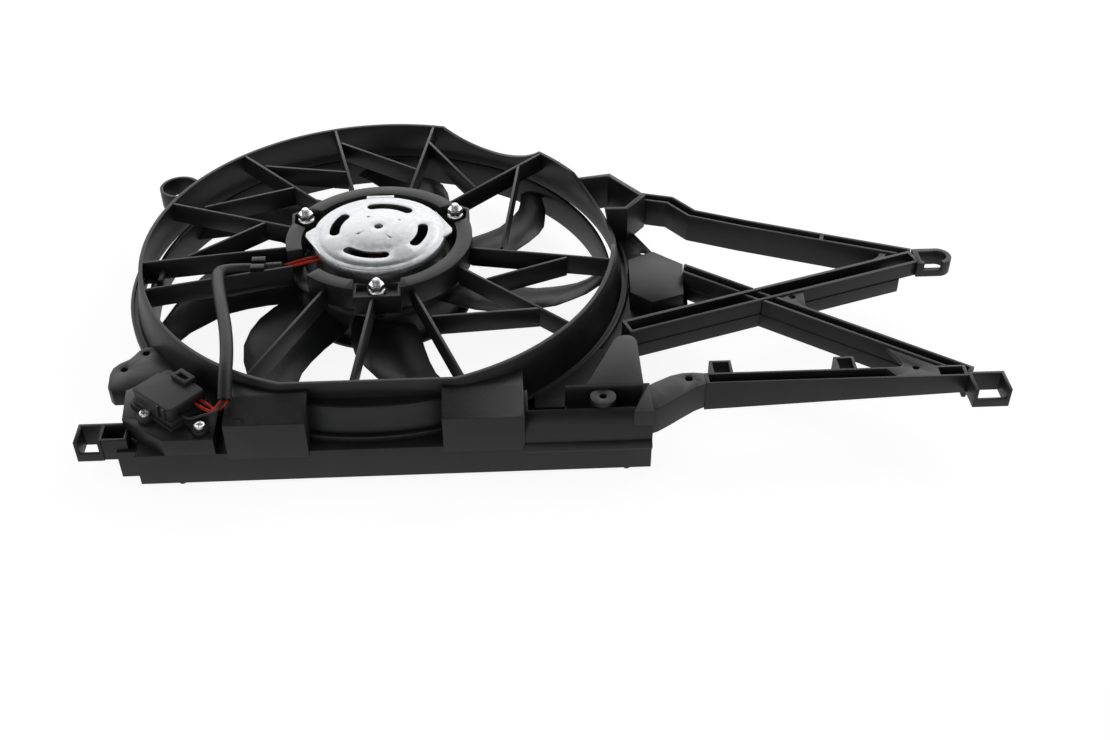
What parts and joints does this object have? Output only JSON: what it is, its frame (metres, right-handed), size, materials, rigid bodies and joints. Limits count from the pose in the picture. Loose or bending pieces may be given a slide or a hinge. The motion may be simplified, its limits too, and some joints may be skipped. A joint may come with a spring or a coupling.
{
  "type": "radiator cooling fan",
  "caption": "Electric radiator cooling fan: rimmed sickle-blade fan and motor in a ring shroud with a side arm frame, mounting loops and a plug lead.",
  "frame": {"origin": "on the fan's axis, level with the bottom edge of the front apron", "axes": "+Z along the fan's axis towards the motor side, +X along the long side, from the plug end towards the eye loop"},
  "size_m": [0.627, 0.3873, 0.0783],
  "materials": {
    "shroud_plastic": "fine moulded grain, satin",
    "fan_plastic": "moulded, satin",
    "housing_plastic": "moulded, satin",
    "plug_plastic": "moulded, matte",
    "cap_steel": "bright zinc plated sheet",
    "can_steel": "dark coated steel",
    "zinc": "bright zinc plate",
    "bearing_steel": "ground steel",
    "core_steel": "stacked sheet",
    "magnet": "sintered ferrite",
    "copper": "enamelled or bare copper",
    "carbon": "pressed carbon",
    "rubber": "moulded rubber",
    "ceramic": "glazed ceramic",
    "red_wire": "red insulation",
    "black_wire": "black insulation",
    "sleeve": "braided or wound sleeve"
  },
  "bodies": {
    "shroud": {"shroud_ring": "shroud_plastic", "motor_mount_ring": "shroud_plastic", "radial_ribs": "shroud_plastic", "cross_ribs": "shroud_plastic", "cable_tray": "shroud_plastic", "tray_clip": "shroud_plastic", "wall_clip": "shroud_plastic", "front_apron": "housing_plastic", "left_duct_block": "housing_plastic", "right_duct_block": "housing_plastic", "pocket_housing": "housing_plastic", "resistor_housing": "housing_plastic", "left_clip": "shroud_plastic", "right_clip": "shroud_plastic", "near_bar": "shroud_plastic", "bar_root": "shroud_plastic", "long_brace": "shroud_plastic", "cross_brace": "shroud_plastic", "top_bar": "shroud_plastic", "eye_loop": "shroud_plastic", "arm_gussets": "shroud_plastic", "ring_ear": "shroud_plastic", "hex_collar": "shroud_plastic", "root_plate": "shroud_plastic", "hex_box": "shroud_plastic", "side_shelf": "shroud_plastic", "ear_plate": "shroud_plastic", "motor_can": "can_steel", "motor_end_cap": "cap_steel", "magnets": "magnet", "brush_holder": "housing_plastic", "brushes": "carbon", "brush_springs": "bearing_steel", "lower_bearing": "bearing_steel", "upper_bearing": "bearing_steel", "motor_flange": "can_steel", "motor_bushes": "rubber", "motor_studs": "zinc", "flange_nuts": "zinc", "resistor": "ceramic", "terminals": "copper", "plug_socket": "plug_plastic", "plug_body": "plug_plastic", "plug_latch": "plug_plastic", "socket_screws": "zinc", "red_leads": "red_wire", "black_lead": "black_wire", "motor_leads": "red_wire", "cable_sleeve": "sleeve"},
    "rotor": {"fan_hub": "fan_plastic", "fan_blades": "fan_plastic", "fan_rim": "fan_plastic", "drive_plate": "zinc", "shaft_nut": "zinc", "motor_shaft": "bearing_steel", "armature_core": "core_steel", "armature_windings": "copper", "commutator": "copper"}
  },
  "joints": [
    {"name": "fan_spin", "type": "hinge", "parent": "shroud", "child": "rotor", "pos_m": [0, 0, 0], "axis": [0, 0, 1], "continuous": true}
  ]
}
